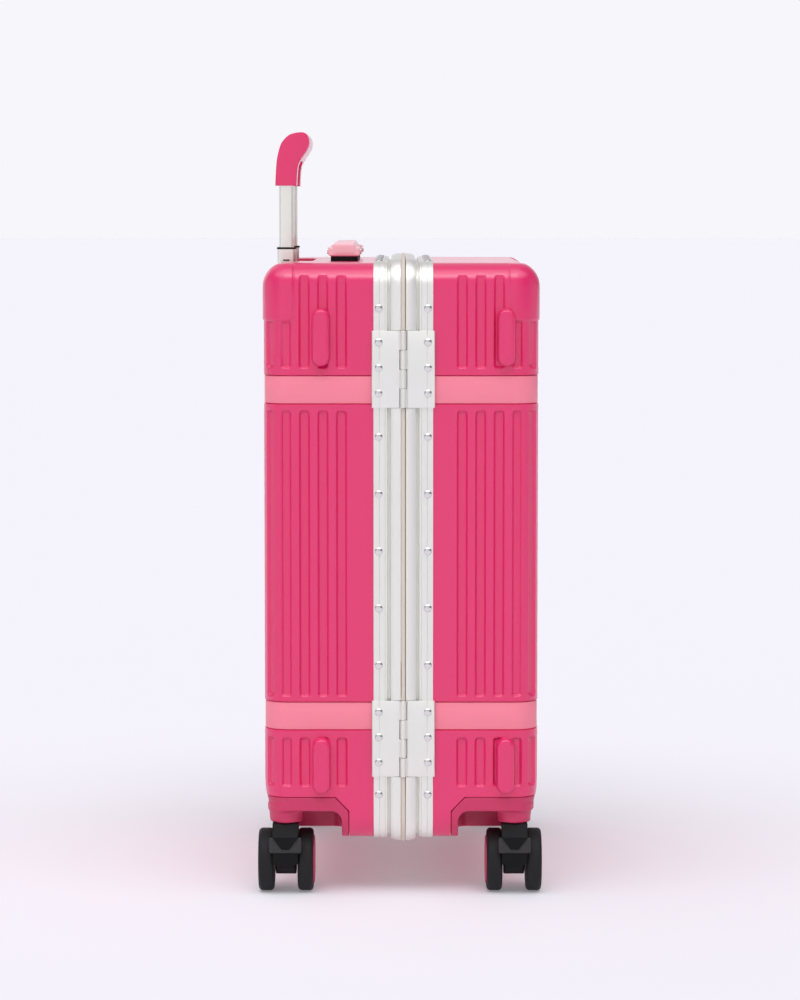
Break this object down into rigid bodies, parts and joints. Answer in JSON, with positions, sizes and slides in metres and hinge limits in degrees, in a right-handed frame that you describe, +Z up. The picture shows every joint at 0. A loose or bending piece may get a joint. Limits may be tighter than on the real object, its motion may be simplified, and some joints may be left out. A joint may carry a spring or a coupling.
{
  "type": "hard shell suitcase",
  "caption": "Hard shell cabin suitcase in an aluminium frame, with belts let into its shells, a telescopic handle, carry handles, latches and twin-wheel swivel casters.",
  "frame": {"origin": "on the floor, under the middle of the whole object's box", "axes": "+Z up; X across the case, hinges towards -X and latches towards +X; Y through its thickness, telescopic handle towards +Y"},
  "size_m": [0.3988, 0.242, 0.6492],
  "materials": {
    "shell_pink": "hot pink moulded polycarbonate with a satin gloss",
    "housing_pink": "matt pink moulded nylon",
    "belt_pink": "pale pink soft-touch belt",
    "handle_pink": "pale pink soft-touch grip",
    "frame_aluminium": "satin anodised extrusion, drawn along its length",
    "tube_aluminium": "fine satin anodised tube",
    "steel": "bright steel",
    "seal": "pale beige soft seal",
    "black_plastic": "black moulded nylon",
    "tyre": "black polyurethane tread on a pink hub",
    "lining": "woven polyester lining"
  },
  "bodies": {
    "back_case": {"back_shell": "shell_pink", "back_frame": "frame_aluminium", "back_belt_lower": "belt_pink", "back_belt_upper": "belt_pink", "back_housing_hinge": "housing_pink", "back_housing_lock": "housing_pink", "frame_seal": "seal", "hinge_leaf_back_lower": "frame_aluminium", "hinge_leaf_back_upper": "frame_aluminium", "hinge_pin_lower": "steel", "hinge_pin_upper": "steel", "handle_cup": "shell_pink", "handle_rails": "tube_aluminium", "rail_cover": "lining", "top_handle_base": "black_plastic", "side_handle_base": "black_plastic", "latch_keeper_lower": "frame_aluminium", "latch_keeper_upper": "frame_aluminium"},
    "front_case": {"front_shell": "shell_pink", "front_frame": "frame_aluminium", "front_belt_lower": "belt_pink", "front_belt_upper": "belt_pink", "front_housing_hinge": "housing_pink", "front_housing_lock": "housing_pink", "hinge_leaf_front_lower": "frame_aluminium", "hinge_leaf_front_upper": "frame_aluminium", "latch_base_lower": "frame_aluminium", "latch_base_upper": "frame_aluminium", "lock_case": "black_plastic"},
    "handle_middle_stage": {"middle_tube_hinge": "tube_aluminium", "middle_tube_lock": "tube_aluminium"},
    "handle_grip_stage": {"inner_tube_hinge": "tube_aluminium", "inner_tube_lock": "tube_aluminium", "grip": "shell_pink"},
    "grip_button": {"grip_button": "housing_pink"},
    "top_handle": {"top_handle": "handle_pink"},
    "side_handle": {"side_handle": "handle_pink"},
    "latch_flap_lower": {"latch_flap_lower": "frame_aluminium"},
    "latch_button_lower": {"latch_button_lower": "steel"},
    "latch_flap_upper": {"latch_flap_upper": "frame_aluminium"},
    "latch_button_upper": {"latch_button_upper": "steel"},
    "lock_dial_1": {"lock_dial_1": "steel"},
    "lock_dial_2": {"lock_dial_2": "steel"},
    "lock_dial_3": {"lock_dial_3": "steel"},
    "caster_back_hinge": {"caster_back_hinge_fork": "black_plastic", "caster_back_hinge_axle": "steel"},
    "wheel_back_hinge_outer": {"wheel_back_hinge_outer": "tyre"},
    "wheel_back_hinge_inner": {"wheel_back_hinge_inner": "tyre"},
    "caster_back_lock": {"caster_back_lock_fork": "black_plastic", "caster_back_lock_axle": "steel"},
    "wheel_back_lock_outer": {"wheel_back_lock_outer": "tyre"},
    "wheel_back_lock_inner": {"wheel_back_lock_inner": "tyre"},
    "caster_front_hinge": {"caster_front_hinge_fork": "black_plastic", "caster_front_hinge_axle": "steel"},
    "wheel_front_hinge_outer": {"wheel_front_hinge_outer": "tyre"},
    "wheel_front_hinge_inner": {"wheel_front_hinge_inner": "tyre"},
    "caster_front_lock": {"caster_front_lock_fork": "black_plastic", "caster_front_lock_axle": "steel"},
    "wheel_front_lock_outer": {"wheel_front_lock_outer": "tyre"},
    "wheel_front_lock_inner": {"wheel_front_lock_inner": "tyre"}
  },
  "joints": [
    {"name": "lid_hinge", "type": "hinge", "parent": "back_case", "child": "front_case", "pos_m": [-0.19598, -0.0028, 0.285], "axis": [0, 0, -1], "range_deg": [0, 150]},
    {"name": "handle_middle_slide", "type": "slide", "parent": "back_case", "child": "handle_middle_stage", "axis": [0, 0, 1], "range_m": [-0.0435, 0.196]},
    {"name": "handle_grip_slide", "type": "slide", "parent": "handle_middle_stage", "child": "handle_grip_stage", "axis": [0, 0, 1], "range_m": [-0.053, 0.184]},
    {"name": "grip_button_press", "type": "slide", "parent": "handle_grip_stage", "child": "grip_button", "axis": [0, 0, -1], "range_m": [0, 0.0025], "stiffness_N_per_m": 400},
    {"name": "top_handle_lift", "type": "slide", "parent": "back_case", "child": "top_handle", "axis": [0, 0, 1], "range_m": [0, 0.015]},
    {"name": "side_handle_lift", "type": "slide", "parent": "back_case", "child": "side_handle", "axis": [1, 0, 0], "range_m": [0, 0.015]},
    {"name": "latch_lower_flap", "type": "hinge", "parent": "front_case", "child": "latch_flap_lower", "pos_m": [0.18523, -0.0218, 0.1357], "axis": [0, 0, -1], "range_deg": [0, 110]},
    {"name": "latch_lower_button", "type": "slide", "parent": "latch_flap_lower", "child": "latch_button_lower", "axis": [-1, 0, 0], "range_m": [0, 0.0015], "stiffness_N_per_m": 500},
    {"name": "latch_upper_flap", "type": "hinge", "parent": "front_case", "child": "latch_flap_upper", "pos_m": [0.18523, -0.0218, 0.4487], "axis": [0, 0, -1], "range_deg": [0, 110]},
    {"name": "latch_upper_button", "type": "slide", "parent": "latch_flap_upper", "child": "latch_button_upper", "axis": [-1, 0, 0], "range_m": [0, 0.0015], "stiffness_N_per_m": 500},
    {"name": "lock_dial_1_turn", "type": "hinge", "parent": "front_case", "child": "lock_dial_1", "pos_m": [0.18563, -0.0178, 0.28465], "axis": [0, 0, 1], "continuous": true},
    {"name": "lock_dial_2_turn", "type": "hinge", "parent": "front_case", "child": "lock_dial_2", "pos_m": [0.18563, -0.0178, 0.29315], "axis": [0, 0, 1], "continuous": true},
    {"name": "lock_dial_3_turn", "type": "hinge", "parent": "front_case", "child": "lock_dial_3", "pos_m": [0.18563, -0.0178, 0.30165], "axis": [0, 0, 1], "continuous": true},
    {"name": "caster_back_hinge_swivel", "type": "hinge", "parent": "back_case", "child": "caster_back_hinge", "pos_m": [-0.17338, 0.0975, 0.062], "axis": [0, 0, 1], "continuous": true},
    {"name": "wheel_back_hinge_outer_spin", "type": "hinge", "parent": "caster_back_hinge", "child": "wheel_back_hinge_outer", "pos_m": [-0.16137, 0.11425, 0.02675], "axis": [0, 1, 0], "continuous": true},
    {"name": "wheel_back_hinge_inner_spin", "type": "hinge", "parent": "caster_back_hinge", "child": "wheel_back_hinge_inner", "pos_m": [-0.16137, 0.08075, 0.02675], "axis": [0, 1, 0], "continuous": true},
    {"name": "caster_back_lock_swivel", "type": "hinge", "parent": "back_case", "child": "caster_back_lock", "pos_m": [0.16062, 0.0975, 0.062], "axis": [0, 0, 1], "continuous": true},
    {"name": "wheel_back_lock_outer_spin", "type": "hinge", "parent": "caster_back_lock", "child": "wheel_back_lock_outer", "pos_m": [0.17263, 0.11425, 0.02675], "axis": [0, 1, 0], "continuous": true},
    {"name": "wheel_back_lock_inner_spin", "type": "hinge", "parent": "caster_back_lock", "child": "wheel_back_lock_inner", "pos_m": [0.17263, 0.08075, 0.02675], "axis": [0, 1, 0], "continuous": true},
    {"name": "caster_front_hinge_swivel", "type": "hinge", "parent": "front_case", "child": "caster_front_hinge", "pos_m": [-0.17338, -0.0975, 0.062], "axis": [0, 0, 1], "continuous": true},
    {"name": "wheel_front_hinge_outer_spin", "type": "hinge", "parent": "caster_front_hinge", "child": "wheel_front_hinge_outer", "pos_m": [-0.16137, -0.11425, 0.02675], "axis": [0, 1, 0], "continuous": true},
    {"name": "wheel_front_hinge_inner_spin", "type": "hinge", "parent": "caster_front_hinge", "child": "wheel_front_hinge_inner", "pos_m": [-0.16137, -0.08075, 0.02675], "axis": [0, 1, 0], "continuous": true},
    {"name": "caster_front_lock_swivel", "type": "hinge", "parent": "front_case", "child": "caster_front_lock", "pos_m": [0.16062, -0.0975, 0.062], "axis": [0, 0, 1], "continuous": true},
    {"name": "wheel_front_lock_outer_spin", "type": "hinge", "parent": "caster_front_lock", "child": "wheel_front_lock_outer", "pos_m": [0.17263, -0.11425, 0.02675], "axis": [0, 1, 0], "continuous": true},
    {"name": "wheel_front_lock_inner_spin", "type": "hinge", "parent": "caster_front_lock", "child": "wheel_front_lock_inner", "pos_m": [0.17263, -0.08075, 0.02675], "axis": [0, 1, 0], "continuous": true}
  ]
}
